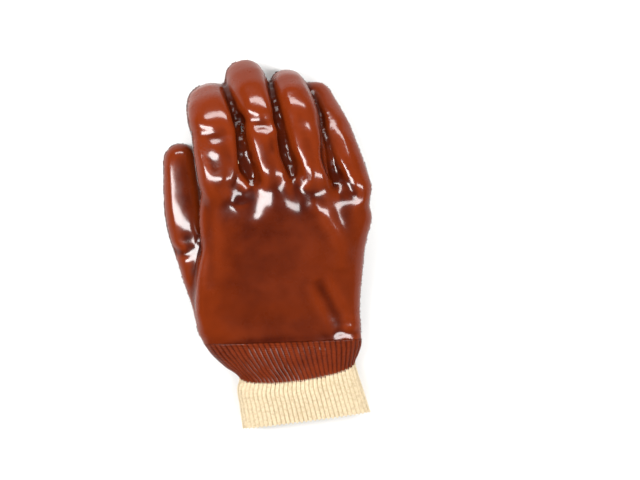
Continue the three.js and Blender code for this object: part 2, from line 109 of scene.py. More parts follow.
# The fingers lie side by side, and part along these lines.
PARTINGS = [
    Fold([(-21, 115), (-15.6, 96), (-12.3, 83), (-11.6, 76), (-12.2, 64), (-11, 51), (-8.5, 38)],
         sink=4.2, reach=2.0, step=-0.3),
    Fold([(10, 116), (13.8, 94), (15, 80), (16, 69), (17.4, 56), (18.8, 39)],
         sink=3.6, reach=1.9, step=-0.3),
    Fold([(34, 112), (41, 92.5), (43.7, 80), (43.5, 65), (42.8, 50), (45, 34)],
         sink=3.6, reach=1.9, step=-0.3),
]

# Where a fold's ridges stand and how far its step runs out, in reaches from its middle
LIP_PLACE = 1.7
STEP_RUN = 3.0
# Half widths of the marks that the material reads along wrinkles and partings, in millimetres
WRINKLE_MARK = 5.5
PARTING_MARK = 2.4

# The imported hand: points this close are one, and rim faces are this close to the seam
WELD = 2e-6
RIM_DEPTH = 6e-5
# How far the outer side is carried on past its mouth, so that the cut at the seam is clean
MOUTH_RUN = 0.014
# Rounds of evening out that soften the skin over the width of one of its faces
SOFT_ROUNDS = 4.0
# Unevenness of the skin, and the height and the rise of the grip's grain, in millimetres
UNEVENNESS = 0.16
GRAIN_HEIGHT = 0.30
GRAIN_RISE = 0.18
# How far inside the folded skin the lining stays at least
LINING_DEPTH = 1.4 * MM
# Where the palm's crumbs end and the fingers' crumbs begin, along the glove
FINGER_GRIP_FROM = 30.0 * MM

# Colours of deep places in the coat and of flecks in the cotton
GRAIN_SHADOW = (0.020, 0.0030, 0.0012)
PARTING_SHADOW = (0.020, 0.0022, 0.0006)
FLECK_COLOUR = (0.36, 0.24, 0.11)

# What settings of one kind have in common
LENGTH = {"precision": 5, "subtype": "DISTANCE", "unit": "LENGTH"}
COLOUR = {"size": 3, "min": 0.0, "max": 1.0, "subtype": "COLOR"}


class GloveCoatSettings(bpy.types.PropertyGroup):
    """Sizes and colours of the hand's coat."""

    voxel: bpy.props.FloatProperty(
        name="Skin Fineness", description="Size of the faces of the hand's skin",
        default=0.00118, min=0.0008, max=0.004, **LENGTH)
    softness: bpy.props.FloatProperty(
        name="Softness", description="Width over which the dipped coat rounds edges and webs",
        default=0.0052, min=0.001, max=0.012, **LENGTH)
    fold_strength: bpy.props.FloatProperty(
        name="Fold Strength", description="Depth of the folds, as a share of the usual depth",
        default=1.0, min=0.0, max=2.0, subtype="FACTOR")
    # The coat's random tone runs between the deep and the warm colour; the painted light on humps,
    # fingertips and edges draws it to the warm one
    deep_colour: bpy.props.FloatVectorProperty(
        name="Deep Colour", description="Colour of the coat where it is thick",
        default=(0.036, 0.0030, 0.0005), **COLOUR)
    warm_colour: bpy.props.FloatVectorProperty(
        name="Warm Colour", description="Colour of the coat where it is thin",
        default=(0.190, 0.0240, 0.0028), **COLOUR)


class GloveGripSettings(bpy.types.PropertyGroup):
    """Sizes and numbers of the crumbs of the grip."""

    crumb_size: bpy.props.FloatProperty(
        name="Crumb Size", description="Usual radius of one crumb of the grip",
        default=0.00062, min=0.0002, max=0.002, **LENGTH)
    palm_crumbs: bpy.props.IntProperty(
        name="Palm Crumbs", description="Most crumbs on the palm and the thumb",
        default=9400, min=100, max=9900)
    finger_crumbs: bpy.props.IntProperty(
        name="Finger Crumbs", description="Most crumbs on the fingers",
        default=9400, min=100, max=9900)
    seed: bpy.props.IntProperty(
        name="Seed", description="Starting number of the crumbs' places", default=7, min=0)


class GloveWristSettings(bpy.types.PropertyGroup):
    """Sizes and colours of the knitted wrist and of its coated part."""

    rib_count: bpy.props.IntProperty(
        name="Ribs", description="Number of knitted ribs around the wrist", default=64, min=12)
    rib_depth: bpy.props.FloatProperty(
        name="Rib Depth", description="Depth of the grooves between the ribs",
        default=0.00058, min=0.0001, max=0.002, **LENGTH)
    course: bpy.props.FloatProperty(
        name="Course Height", description="Height of one row of stitches",
        default=0.00125, min=0.0006, max=0.004, **LENGTH)
    yarn: bpy.props.FloatProperty(
        name="Yarn Radius", description="Radius of the cotton yarn",
        default=0.00031, min=0.0001, max=0.001, **LENGTH)
    cotton_colour: bpy.props.FloatVectorProperty(
        name="Cotton Colour", description="Colour of the undyed cotton",
        default=(0.72, 0.60, 0.41), **COLOUR)
    # the cotton shade is painted shade for the grooves between the ribs, and also the colour of darker
    # slubs and of the lining's loops
    shade_colour: bpy.props.FloatVectorProperty(
        name="Cotton Shade", description="Colour of the cotton deep between the ribs",
        default=(0.44, 0.33, 0.18), **COLOUR)


class GloveStageSettings(bpy.types.PropertyGroup):
    """The camera and the lights around the glove."""

    camera_height: bpy.props.FloatProperty(
        name="Camera Height", description="Height of the camera over the glove",
        default=1.40, min=0.3, max=5.0, **LENGTH)
    roll: bpy.props.FloatProperty(
        name="Roll", description="Turn of the picture against the glove",
        default=math.radians(7.5), subtype="ANGLE", unit="ROTATION")
    light_strength: bpy.props.FloatProperty(
        name="Light Strength", description="Strength of the soft lights, as a share of the usual one",
        default=1.0, min=0.1, max=4.0, subtype="FACTOR")
    floor_colour: bpy.props.FloatVectorProperty(
        name="Floor Colour", description="Colour of the plain floor",
        default=(0.86, 0.86, 0.85), **COLOUR)


# Shared mesh work

def new_object(name, mesh):
    """Links a new object for a mesh."""
    obj = bpy.data.objects.new(name, mesh)
    bpy.context.scene.collection.objects.link(obj)
    return obj


def mesh_from(name, vertices, faces):
    """A mesh from points in metres and lists of corner numbers."""
    mesh = bpy.data.meshes.new(name)
    mesh.from_pydata([tuple(p) for p in vertices], [], faces)
    mesh.update()
    return mesh


def mesh_of(name, bm):
    """A mesh from an edited one, which is used up."""
    mesh = bpy.data.meshes.new(name)
    bm.to_mesh(mesh)
    bm.free()
    return mesh


def read_array(items, name, width=1, kind=np.float64):
    """One property of a mesh's points, edges, faces or stored numbers as an array."""
    flat = np.empty(len(items) * width, dtype=kind)
    items.foreach_get(name, flat)
    return flat.reshape(-1, width) if width > 1 else flat


def positions_of(mesh):
    """The places of a mesh's points."""
    return read_array(mesh.vertices, "co", 3)


def stored_numbers(mesh, name, kind=np.float64):
    """The numbers stored on a mesh's points under a name."""
    return read_array(mesh.attributes[name].data, "value", kind=kind)


def place_points(mesh, positions):
    """Moves a mesh's points to an array of places."""
    mesh.vertices.foreach_set("co", positions.astype(np.float32).ravel())
    mesh.update()


def raise_to_floor(mesh):
    """Moves points that are under the floor up onto it."""
    places = positions_of(mesh)
    places[:, 2] = np.maximum(places[:, 2], 0.0)
    place_points(mesh, places)


def write_attribute(mesh, name, values):
    """Stores one number for each point."""
    layer = mesh.attributes.new(name, "FLOAT", "POINT")
    layer.data.foreach_set("value", np.asarray(values, dtype=np.float32))


def write_vectors(mesh, name, values):
    """Stores one direction for each point."""
    layer = mesh.attributes.new(name, "FLOAT_VECTOR", "POINT")
    layer.data.foreach_set("vector", np.asarray(values, dtype=np.float32).ravel())


def swap_mesh(obj, mesh):
    """Gives an object another mesh and removes the old one."""
    old = obj.data
    obj.data = mesh
    bpy.data.meshes.remove(old)


def bake(obj):
    """Turns an object's modifiers into its plain mesh."""
    depsgraph = bpy.context.evaluated_depsgraph_get()
    mesh = bpy.data.meshes.new_from_object(obj.evaluated_get(depsgraph))
    obj.modifiers.clear()
    swap_mesh(obj, mesh)
    mesh.name = obj.name


def blurred(values, edges, rounds):
    """Evens values out between neighbouring points."""
    count = len(values)
    a, b = edges[:, 0], edges[:, 1]
    valence = np.bincount(a, minlength=count) + np.bincount(b, minlength=count)
    valence = np.maximum(valence, 1)
    columns = values.reshape(count, -1).copy()
    for _ in range(rounds):
        for k in range(columns.shape[1]):
            column = columns[:, k]
            summed = np.bincount(a, column[b], count) + np.bincount(b, column[a], count)
            columns[:, k] = 0.5 * column + 0.5 * summed / valence
    return columns.reshape(values.shape)


def smooth_step(values, low, high):
    """A soft change from 0 at low to 1 at high."""
    t = np.clip((values - low) / (high - low), 0.0, 1.0)
    return t * t * (3.0 - 2.0 * t)


def noise_field(points, size, seed):
    """Smooth noise at points in metres, about -1 to 1, with lumps of the given size."""
    shift = Vector((seed * 3.1, seed * 1.7, seed * 5.3))
    return np.array([noise.fractal(Vector(p) / size + shift, 1.0, 2.0, 2) for p in points])


# Shared node work

class NodeBench:
    """Lays out one node tree. An input takes a plain value or another node's output."""

    def __init__(self, tree):
        self.tree = tree
        self.column = 0

    def put(self, value, socket):
        """Joins an output to an input, or gives the input a plain value."""
        if isinstance(value, bpy.types.NodeSocket):
            self.tree.links.new(value, socket)
        elif value is not None:
            socket.default_value = value

    def feed(self, node, **inputs):
        """Fills a node's inputs by name, with underscores for spaces."""
        for name, value in inputs.items():
            self.put(value, node.inputs[name.replace("_", " ")])

    def add(self, kind, settings=None, **inputs):
        """Adds a node, sets its own settings and fills its inputs."""
        node = self.tree.nodes.new(kind)
        node.location = (self.column * 170, 0)
        self.column += 1
        for key, value in (settings or {}).items():
            setattr(node, key, value)
        self.feed(node, **inputs)
        return node

    def math(self, operation, a, b=None):
        """Adds a calculation on one or two numbers."""
        node = self.add("ShaderNodeMath", {"operation": operation})
        self.put(a, node.inputs[0])
        self.put(b, node.inputs[1])
        return node.outputs[0]

    def times(self, a, b):
        """Adds a product."""
        return self.math("MULTIPLY", a, b)

    def blend(self, a, share_a, b, share_b):
        """Adds the sum of two numbers, each taken by its share."""
        return self.math("ADD", self.times(a, share_a), self.times(b, share_b))

    def scaled(self, vector, share):
        """Adds a vector's scaling."""
        node = self.add("ShaderNodeVectorMath", {"operation": "SCALE"}, Scale=share)
        self.put(vector, node.inputs[0])
        return node.outputs["Vector"]

    def ranged(self, value, low, high, to_low=0.0, to_high=1.0):
        """Moves a value from one range to another."""
        node = self.add(
            "ShaderNodeMapRange", Value=value,
            From_Min=low, From_Max=high, To_Min=to_low, To_Max=to_high)
        return node.outputs["Result"]

    def mixed(self, share, first, second):
        """Adds a mix of two colours."""
        node = self.add("ShaderNodeMix", {"data_type": "RGBA"})
        self.put(share, node.inputs[0])
        for colour, socket in ((first, node.inputs[6]), (second, node.inputs[7])):
            self.put(colour if isinstance(colour, bpy.types.NodeSocket) else (*colour, 1.0), socket)
        return node.outputs[2]

    def noise(self, place, scale, detail=2.0, roughness=0.5):
        """Adds a noise pattern."""
        node = self.add(
            "ShaderNodeTexNoise", Vector=place, Scale=scale, Detail=detail, Roughness=roughness)
        return node.outputs["Fac"]

    def cells(self, place, feature, scale, randomness):
        """Adds a pattern of cells: the distance from the middle of the nearest one."""
        node = self.add(
            "ShaderNodeTexVoronoi", {"feature": feature},
            Vector=place, Scale=scale, Randomness=randomness)
        return node.outputs["Distance"]

    def bump(self, height, distance, strength, before=None):
        """Adds a bump from a height, on top of an earlier one."""
        node = self.add(
            "ShaderNodeBump", Strength=strength, Distance=distance, Height=height, Normal=before)
        return node.outputs["Normal"]

    def painted_number(self, name):
        """Adds, to a material, one of the numbers stored on the mesh."""
        return self.add("ShaderNodeAttribute", {"attribute_name": name}).outputs["Fac"]

    def stored(self, name, kind="FLOAT"):
        """Adds, to a geometry tree, one of the numbers or directions stored on the mesh."""
        node = self.add("GeometryNodeInputNamedAttribute", {"data_type": kind}, Name=name)
        return node.outputs["Attribute"]


def new_tree(name, inputs, output):
    """A geometry tree with its named inputs: its bench and the sockets that give the inputs."""
    tree = bpy.data.node_groups.new(name, "GeometryNodeTree")
    for label, kind, default in inputs:
        socket = tree.interface.new_socket(label, in_out="INPUT", socket_type=f"NodeSocket{kind}")
        if default is not None:
            socket.default_value = default
    tree.interface.new_socket(output, in_out="OUTPUT", socket_type="NodeSocketGeometry")
    bench = NodeBench(tree)
    return bench, bench.add("NodeGroupInput").outputs


def end_tree(bench, geometry, material):
    """Ends a geometry tree with a plain, smoothly shaded mesh that wears its material."""
    real = bench.add("GeometryNodeRealizeInstances", Geometry=geometry)
    smooth = bench.add("GeometryNodeSetShadeSmooth", Geometry=real.outputs["Geometry"])
    painted = bench.add("GeometryNodeSetMaterial", Geometry=smooth.outputs[0], Material=material)
    bench.put(painted.outputs["Geometry"], bench.add("NodeGroupOutput").inputs[0])
    return bench.tree


def run_nodes(obj, tree, inputs):
    """Runs a geometry tree on an object, and keeps the result as its plain mesh."""
    modifier = obj.modifiers.new(tree.name, "NODES")
    modifier.node_group = tree
    for item in tree.interface.items_tree:
        if item.item_type == "SOCKET" and item.in_out == "INPUT" and item.name in inputs:
            modifier[item.identifier] = inputs[item.name]
    obj.update_tag()
    bake(obj)


# Materials

def new_material(name):
    """A material with its node bench, its shader and its object coordinates."""
    material = bpy.data.materials.new(name)
    material.use_nodes = True
    tree = material.node_tree
    shader = next(node for node in tree.nodes if node.type == "BSDF_PRINCIPLED")
    bench = NodeBench(tree)
    return material, bench, shader, bench.add("ShaderNodeTexCoord").outputs["Object"]


def toned(colour, share):
    """A share of a colour."""
    return tuple(share * c for c in colour)


def edge_dimmed(bench, strength):
    """A gloss strength that drops off where the surface turns away from the eye."""
    facing = bench.add("ShaderNodeLayerWeight", Blend=0.5).outputs["Facing"]
    return bench.ranged(facing, 0.15, 0.34, strength, 0.07 * strength)


def coat_material(settings):
    """Glossy dipped coat, with crumbs in the surface where the grip is."""
    material, bench, shader, place = new_material("glossy_coat")
    clouds = bench.noise(place, 22.0, 3.0, 0.55)
    streaks = bench.noise(place, 90.0, 3.0, 0.6)
    mottle = bench.ranged(bench.blend(clouds, 0.7, streaks, 0.3), 0.36, 1.10)
    colour = bench.mixed(mottle, settings.deep_colour, settings.warm_colour)
    # painted light: the colour moves to the warm one on humps, towards the fingertips and on edges that
    # turn down
    painted_light = bench.painted_number("painted_light")
    colour = bench.mixed(bench.times(painted_light, 0.7), colour, settings.warm_colour)
    grip = bench.painted_number("grip")
    crumbs = bench.cells(place, "SMOOTH_F1", 900.0, 1.0)
    pits = bench.ranged(crumbs, 0.15, 0.75)
    grain = bench.mixed(pits, toned(settings.warm_colour, 0.55), GRAIN_SHADOW)
    colour = bench.mixed(bench.times(grip, 0.7), colour, grain)
    shadow = bench.painted_number("parted")
    colour = bench.mixed(bench.times(shadow, 0.6), colour, PARTING_SHADOW)
    smear = bench.noise(place, 40.0, 4.0, 0.6)
    dulled = bench.math("SUBTRACT", 1.0, bench.times(shadow, 0.9))
    ripples = bench.noise(place, 75.0, 3.0, 0.55)
    peel = bench.noise(place, 420.0)
    crinkle = bench.times(bench.noise(place, 260.0, 3.0, 0.6), bench.painted_number("wrinkle"))
    rough = bench.times(bench.math("SUBTRACT", 1.0, crumbs), grip)
    normal = bench.bump(ripples, 0.0010, 0.4)
    normal = bench.bump(peel, 0.00010, 0.45, normal)
    normal = bench.bump(crinkle, 0.0012, 0.8, normal)
    normal = bench.bump(rough, 0.0010, 1.0, normal)
    bench.feed(
        shader, Base_Color=colour, Roughness=bench.ranged(smear, 0.3, 0.75, 0.22, 0.36),
        IOR=1.45, Specular_IOR_Level=0.10,
        Coat_Weight=bench.times(edge_dimmed(bench, 1.0), dulled),
        Coat_Roughness=0.13, Coat_IOR=1.5, Normal=normal)
    return material


def crumb_material(settings):
    """Wet looking crumbs of the grip."""
    material, bench, shader, place = new_material("grip_crumbs")
    mottle = bench.ranged(bench.noise(place, 130.0, 3.0, 0.6), 0.35, 0.65)
    deep, warm = toned(settings.deep_colour, 0.5), toned(settings.warm_colour, 0.7)
    smear = bench.noise(place, 500.0)
    bench.feed(
        shader, Base_Color=bench.mixed(mottle, deep, warm),
        Roughness=bench.ranged(smear, 0.3, 0.7, 0.10, 0.30),
        IOR=1.52, Coat_Weight=1.0, Coat_Roughness=0.05,
        Normal=bench.bump(bench.noise(place, 1600.0), 0.0003, 0.7))
    return material


def jersey_material(settings):
    """Cotton jersey of the lining, seen through the wrist."""
    material, bench, shader, place = new_material("jersey_lining")
    loops = bench.cells(place, "F1", 650.0, 0.35)
    blot = bench.noise(place, 60.0, 3.0)
    shade = bench.ranged(bench.blend(loops, 0.7, blot, 0.4), 0.2, 0.9)
    bench.feed(
        shader, Base_Color=bench.mixed(shade, settings.cotton_colour, settings.shade_colour),
        Roughness=0.95, Sheen_Weight=0.3, Normal=bench.bump(loops, 0.0006, 0.8))
    return material


def rib_coat_material(coat):
    """Coat over the ribs: lighter on their crests, with painted shade in the grooves, and mottled."""
    material, bench, shader, place = new_material("coated_ribs")
    crest = bench.painted_number("crest")
    clouds = bench.noise(place, 60.0, 3.0, 0.6)
    # painted shade: darker in the grooves between the ribs and lighter on their crests, mottled by the
    # clouds
    crest_light_and_mottle = bench.ranged(bench.blend(crest, 0.55, clouds, 0.75), 0.25, 1.0)
    colour = bench.mixed(crest_light_and_mottle, toned(coat.deep_colour, 0.6), toned(coat.warm_colour, 0.85))
    stitches = bench.ranged(bench.noise(place, 700.0), 0.4, 0.8, 0.0, 0.35)
    colour = bench.mixed(stitches, colour, coat.deep_colour)
    loops = bench.math("SINE", bench.times(bench.painted_number("course"), 2.0 * math.pi))
    normal = bench.bump(bench.times(loops, crest), 0.00018, 0.6)
    normal = bench.bump(bench.noise(place, 380.0, 3.0, 0.6), 0.0004, 0.6, normal)
    bench.feed(
        shader, Base_Color=colour, Roughness=bench.ranged(clouds, 0.3, 0.7, 0.24, 0.42),
        IOR=1.5, Specular_IOR_Level=0.08, Coat_Weight=edge_dimmed(bench, 0.3),
        Coat_Roughness=0.15, Normal=normal)
    return material


def cotton_material(settings):
    """Undyed cotton rib knit, matt, with spun fibres and small flecks."""
    material, bench, shader, place = new_material("cotton_rib")
    crest = bench.painted_number("crest")
    blot = bench.noise(place, 45.0, 3.0, 0.6)
    # painted shade: the cotton is darker in the grooves between the ribs
    light = bench.ranged(bench.blend(crest, 0.6, blot, 0.55), 0.0, 0.85)
    colour = bench.mixed(light, settings.shade_colour, settings.cotton_colour)
    slub = bench.ranged(bench.noise(place, 560.0, 2.0, 0.6), 0.46, 0.66, 0.0, 0.55)
    colour = bench.mixed(slub, colour, settings.shade_colour)
    fleck = bench.ranged(bench.noise(place, 900.0, 2.0, 0.7), 0.56, 0.74, 0.0, 0.5)
    colour = bench.mixed(fleck, colour, FLECK_COLOUR)
    fibres = bench.noise(place, 1500.0, 3.0, 0.65)
    bench.feed(
        shader, Base_Color=colour, Roughness=0.93, Sheen_Weight=0.35, Sheen_Roughness=0.5,
        Normal=bench.bump(fibres, 0.0003, 0.7))
    return material


# The hand

def seam_y(x):
    """The wrist seam's place along the glove, for a place across it."""
    return SEAM_MIDDLE.y + SEAM_SLANT * (x - SEAM_MIDDLE.x)


def islands(bm):
    """The sets of faces that hang together."""
    left = set(bm.faces)
    found = []
    while left:
        start = left.pop()
        island = [start]
        for face in island:
            for edge in face.edges:
                for other in edge.link_faces:
                    if other in left:
                        left.remove(other)
                        island.append(other)
        found.append(island)
    return found


def hand_sides():
    """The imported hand's outer side and its lining side, without the rim at its mouth."""
    bm = bmesh.new()
    bm.from_mesh(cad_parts["pvc_hand"].data)
    bmesh.ops.remove_doubles(bm, verts=bm.verts, dist=WELD)
    rim = [
        face for face in bm.faces
        if all(abs(vert.co.y - seam_y(vert.co.x)) < RIM_DEPTH for vert in face.verts)
    ]
    bmesh.ops.delete(bm, geom=rim, context="FACES_ONLY")
    sides = sorted(islands(bm), key=len, reverse=True)[:2]
    if len(sides) < 2:
        raise RuntimeError("the hand's outer side and lining side hang together")
    sides.sort(key=lambda side: -max(vert.co.z for face in side for vert in face.verts))
    made = []
    for side in sides:
        numbers = {}
        for face in side:
            for vert in face.verts:
                numbers.setdefault(vert, len(numbers))
        points = [vert.co.copy() for vert in numbers]
        faces = [[numbers[vert] for vert in face.verts] for face in side]
        made.append((points, faces))
    bm.free()
    return made


def closed_outer_side(points, faces):
    """The outer side, carried on past its mouth and closed there."""
    bm = bmesh.new()
    bm.from_mesh(mesh_from("outer_side", points, faces))
    mouth = [edge for edge in bm.edges if edge.is_boundary]
    drawn = bmesh.ops.extrude_edge_only(bm, edges=mouth)
    moved = [item for item in drawn["geom"] if isinstance(item, bmesh.types.BMVert)]
    bmesh.ops.translate(bm, verts=moved, vec=(0.0, -MOUTH_RUN, 0.0))
    end = [edge for edge in bm.edges if edge.is_boundary]
    bmesh.ops.holes_fill(bm, edges=end, sides=0)
    bmesh.ops.recalc_face_normals(bm, faces=bm.faces)
    return mesh_of("glove_hand", bm)


def fold_shape(across, fold):
    """Height of the skin beside a fold's middle line, in millimetres."""
    path = np.array(fold.path, dtype=float)
    lengths = np.linalg.norm(np.diff(path, axis=0), axis=1)
    starts = np.concatenate([[0.0], np.cumsum(lengths)])
    nearest = np.full(len(across), np.inf)
    along = np.zeros(len(across))
    side = np.zeros(len(across))
    for k in range(len(path) - 1):
        run = path[k + 1] - path[k]
        offset = across - path[k]
        share = np.clip(offset @ run / (run @ run), 0.0, 1.0)
        distance = np.linalg.norm(offset - share[:, None] * run, axis=1)
        turned = (run[0] * offset[:, 1] - run[1] * offset[:, 0]) / lengths[k]
        closer = distance < nearest
        nearest[closer] = distance[closer]
        along[closer] = ((starts[k] + share * lengths[k]) / starts[-1])[closer]
        side[closer] = turned[closer]
    fade = np.sqrt(np.sin(np.pi * np.clip(along, 0.0, 1.0)))
    groove = -fold.sink * np.exp(-(nearest / fold.reach) ** 2)
    lips = fold.lip * np.exp(-((nearest - LIP_PLACE * fold.reach) / fold.reach) ** 2)
    step = fold.step * np.tanh(side / fold.reach)
    step = step * np.exp(-(nearest / (STEP_RUN * fold.reach)) ** 2)
    return (groove + lips + step) * fade


def fold_marks(across, folds, reach):
    """How near each point is to the middle line of one of the folds, from 1 to 0."""
    marks = np.zeros(len(across))
    for fold in folds:
        mark = fold._replace(sink=-1.0, reach=reach, lip=0.0, step=0.0)
        marks = np.maximum(marks, fold_shape(across, mark))
    return marks


def grip_share(points, normals):
    """How rough the coat is at each point: 1 on the palm side, 0 on the back."""
    x, y = points[:, 0], points[:, 1]
    down = smooth_step(-normals[:, 2], -0.10, 0.40)
    facing_side = smooth_step(-normals[:, 2], -0.42, 0.10)
    on_fingers = smooth_step(y, 0.030, 0.045) * smooth_step(-normals[:, 0], 0.1, 0.5)
    on_thumb = smooth_step(-x, 0.052, 0.060) * smooth_step(y, -0.012, 0.004)
    share = np.maximum(down, facing_side * np.maximum(on_fingers, on_thumb))
    wander = noise_field(points, 0.006, 3)
    share = smooth_step(share + 0.22 * wander, 0.30, 0.62)
    wrist_fade = smooth_step(y - seam_y(x), 0.001, 0.006)
    return share * wrist_fade


def softened(mesh, edges, rounds):
    """Rounds the edges and webs of the skin, without making it smaller."""
    target = positions_of(mesh)
    places = blurred(target, edges, rounds)
    for _ in range(2):
        places += blurred(target - places, edges, rounds)
    place_points(mesh, places)
    return places


def skin_of_hand(settings):
    """The hand's outer skin as a fine, soft mesh with its folds pressed in."""
    (outer_points, outer_faces), lining = hand_sides()
    obj = new_object("glove_hand", closed_outer_side(outer_points, outer_faces))
    remesh = obj.modifiers.new("skin", "REMESH")
    remesh.mode = "VOXEL"
    remesh.voxel_size = settings.voxel
    remesh.adaptivity = 0.0
    bake(obj)
    mesh = obj.data
    edges = read_array(mesh.edges, "vertices", 2, np.int32)
    rounds = int(round((settings.softness / settings.voxel) ** 2 * SOFT_ROUNDS))
    places = softened(mesh, edges, rounds)
    normals = read_array(mesh.vertices, "normal", 3)
    across = places[:, :2] / MM
    lift = np.zeros(len(places))
    for fold in FOLDS + PARTINGS:
        lift += fold_shape(across, fold)
    upward = smooth_step(normals[:, 2], -0.05, 0.45)
    lift = lift * upward * settings.fold_strength
    lift += UNEVENNESS * noise_field(places, 0.016, 5) * smooth_step(normals[:, 2], -0.5, 0.3)
    lift = blurred(lift, edges, 7)
    grip = grip_share(places, normals)
    lift += grip * (GRAIN_HEIGHT * noise_field(places, 0.0022, 9) + GRAIN_RISE)
    places += normals * (lift * MM)[:, None]
    places[:, 2] = np.maximum(places[:, 2], 0.0)
    place_points(mesh, places)
    write_attribute(mesh, "grip", grip)
    write_attribute(mesh, "wrinkle", fold_marks(across, INDEX_WRINKLES, WRINKLE_MARK) * upward)
    write_attribute(mesh, "parted", fold_marks(across, PARTINGS, PARTING_MARK) * (1.0 - grip))
    # painted light: the coat is lighter on humps, towards the fingertips and where the skin turns down
    hump = np.einsum("ij,ij->i", places - blurred(places, edges, 12), normals) / MM
    tips = 0.5 * smooth_step(places[:, 1], 0.040, 0.105)
    tips += 0.7 * (1.0 - smooth_step(normals[:, 2], 0.90, 0.995))
    write_attribute(mesh, "painted_light", np.clip(hump * 3.0 + tips, 0.0, 1.0) * (1.0 - grip))
    return obj, lining


def tucked_lining(obj, lining):
    """The lining side, divided finely and kept inside the folded skin all over."""
    skin = bmesh.new()
    skin.from_mesh(obj.data)
    tree = BVHTree.FromBMesh(skin)
    skin.free()
    bm = bmesh.new()
    bm.from_mesh(mesh_from("lining_side", *lining))
    bmesh.ops.triangulate(bm, faces=bm.faces)
    bmesh.ops.subdivide_edges(bm, edges=bm.edges, cuts=2, use_grid_fill=True)
    inside = [vert for vert in bm.verts if not vert.is_boundary]
    for _ in range(3):
        bmesh.ops.smooth_vert(
            bm, verts=inside, factor=0.4, use_axis_x=True, use_axis_y=True, use_axis_z=True)
        for vert in inside:
            near, outward, _, _ = tree.find_nearest(vert.co)
            if (near - vert.co).dot(outward) < LINING_DEPTH:
                vert.co = near - outward * LINING_DEPTH
    for face in bm.faces:
        face.material_index = 1
    return mesh_of("lining_side", bm)


def join_lining(obj, lining):
    """Cuts the skin at the wrist seam and joins the lining side to it along a rim."""
    inner = tucked_lining(obj, lining)
    bm = bmesh.new()
    bm.from_mesh(obj.data)
    slope = Vector((-SEAM_SLANT, 1.0, 0.0)).normalized()
    bmesh.ops.bisect_plane(
        bm, geom=[*bm.verts, *bm.edges, *bm.faces], dist=1e-7,
        plane_co=SEAM_MIDDLE, plane_no=-slope, clear_outer=True)
    bm.from_mesh(inner)
    rim_edges = [edge for edge in bm.edges if edge.is_boundary]
    bmesh.ops.bridge_loops(bm, edges=rim_edges)
    bmesh.ops.recalc_face_normals(bm, faces=bm.faces)
    mesh = mesh_of("glove_hand", bm)
    bpy.data.meshes.remove(inner)
    swap_mesh(obj, mesh)
    mesh.polygons.foreach_set("use_smooth", [True] * len(mesh.polygons))
    mesh.update()


class GLOVE_OT_hand(bpy.types.Operator):
    """Make the dipped hand: one glossy coat over a cotton lining"""

    bl_idname = "glove.hand"
    bl_label = "Dipped Hand"

    def execute(self, context):
        coat = context.scene.glove_coat
        hand, lining = skin_of_hand(coat)
        join_lining(hand, lining)
        hand.data.materials.append(coat_material(coat))
        hand.data.materials.append(jersey_material(context.scene.glove_wrist))
        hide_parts("pvc_hand")
        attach(hand, "root")
        return {"FINISHED"}


# The grip

def crumb_tree():
    """A node tree that strews crumbs over the rough part of a surface."""
    bench, given = new_tree("Grip Crumbs", [
        ("Surface", "Geometry", None),
        ("Density", "Float", 400000.0),
        ("Crumb Size", "Float", 0.0006),
        ("Seed", "Int", 7),
        ("Material", "Material", None),
    ], "Crumbs")

    def random_vector(low, high, seed):
        node = bench.add("FunctionNodeRandomValue", {"data_type": "FLOAT_VECTOR"}, Seed=seed)
        bench.put(low, node.inputs[0])
        bench.put(high, node.inputs[1])
        return node.outputs[0]

    scatter = bench.add(
        "GeometryNodeDistributePointsOnFaces", {"distribute_method": "RANDOM"},
        Mesh=given["Surface"], Density=bench.times(given["Density"], bench.stored("strew")),
        Seed=given["Seed"])
    crumb = bench.add("GeometryNodeMeshIcoSphere", Radius=1.0, Subdivisions=1)
    size = random_vector((0.55, 0.55, 0.5), (1.35, 1.35, 1.05), given["Seed"])
    turn = random_vector((-3.1, -3.1, -3.1), (3.1, 3.1, 3.1), bench.math("ADD", given["Seed"], 11.0))
    placed = bench.add(
        "GeometryNodeInstanceOnPoints", Points=scatter.outputs["Points"],
        Instance=crumb.outputs["Mesh"], Rotation=turn,
        Scale=bench.scaled(size, given["Crumb Size"]))
    return end_tree(bench, placed.outputs["Instances"], given["Material"])


def strewn_crumbs(name, hand, region, most, grip, tree, material):
    """Crumbs on one region of the hand's grip, about the given number of them."""
    mesh = hand.data.copy()
    rough = stored_numbers(mesh, "grip", np.float32)
    strew = smooth_step(rough, 0.15, 0.8) * region(positions_of(mesh))
    corners = np.array([list(face.vertices)[:3] for face in mesh.polygons])
    areas = read_array(mesh.polygons, "area")
    on_lining = read_array(mesh.polygons, "material_index", kind=np.int32)
    weighted = float((areas * strew[corners].mean(axis=1) * (on_lining == 0)).sum())
    strew[np.unique(corners[on_lining == 1])] = 0.0
    write_attribute(mesh, "strew", strew)
    crumbs = new_object(name, mesh)
    run_nodes(crumbs, tree, {
        "Density": most / weighted,
        "Crumb Size": grip.crumb_size,
        "Seed": grip.seed,
        "Material": material,
    })
    raise_to_floor(crumbs.data)
    return crumbs


class GLOVE_OT_grip(bpy.types.Operator):
    """Strew the crumbs of the rough grip over the palm side, the fingers and the thumb"""

    bl_idname = "glove.grip"
    bl_label = "Rough Grip"

    def execute(self, context):
        hand = bpy.data.objects.get("glove_hand")
        if hand is None:
            raise RuntimeError("make the hand before its grip")
        grip = context.scene.glove_grip
        tree = crumb_tree()
        material = crumb_material(context.scene.glove_coat)
        regions = [
            ("grip_palm", lambda p: (p[:, 1] < FINGER_GRIP_FROM).astype(float), grip.palm_crumbs),
            ("grip_fingers", lambda p: (p[:, 1] >= FINGER_GRIP_FROM).astype(float), grip.finger_crumbs),
        ]
        for name, region, most in regions:
            crumbs = strewn_crumbs(name, hand, region, most, grip, tree, material)
            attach(crumbs, "root")
        return {"FINISHED"}


# The wrist

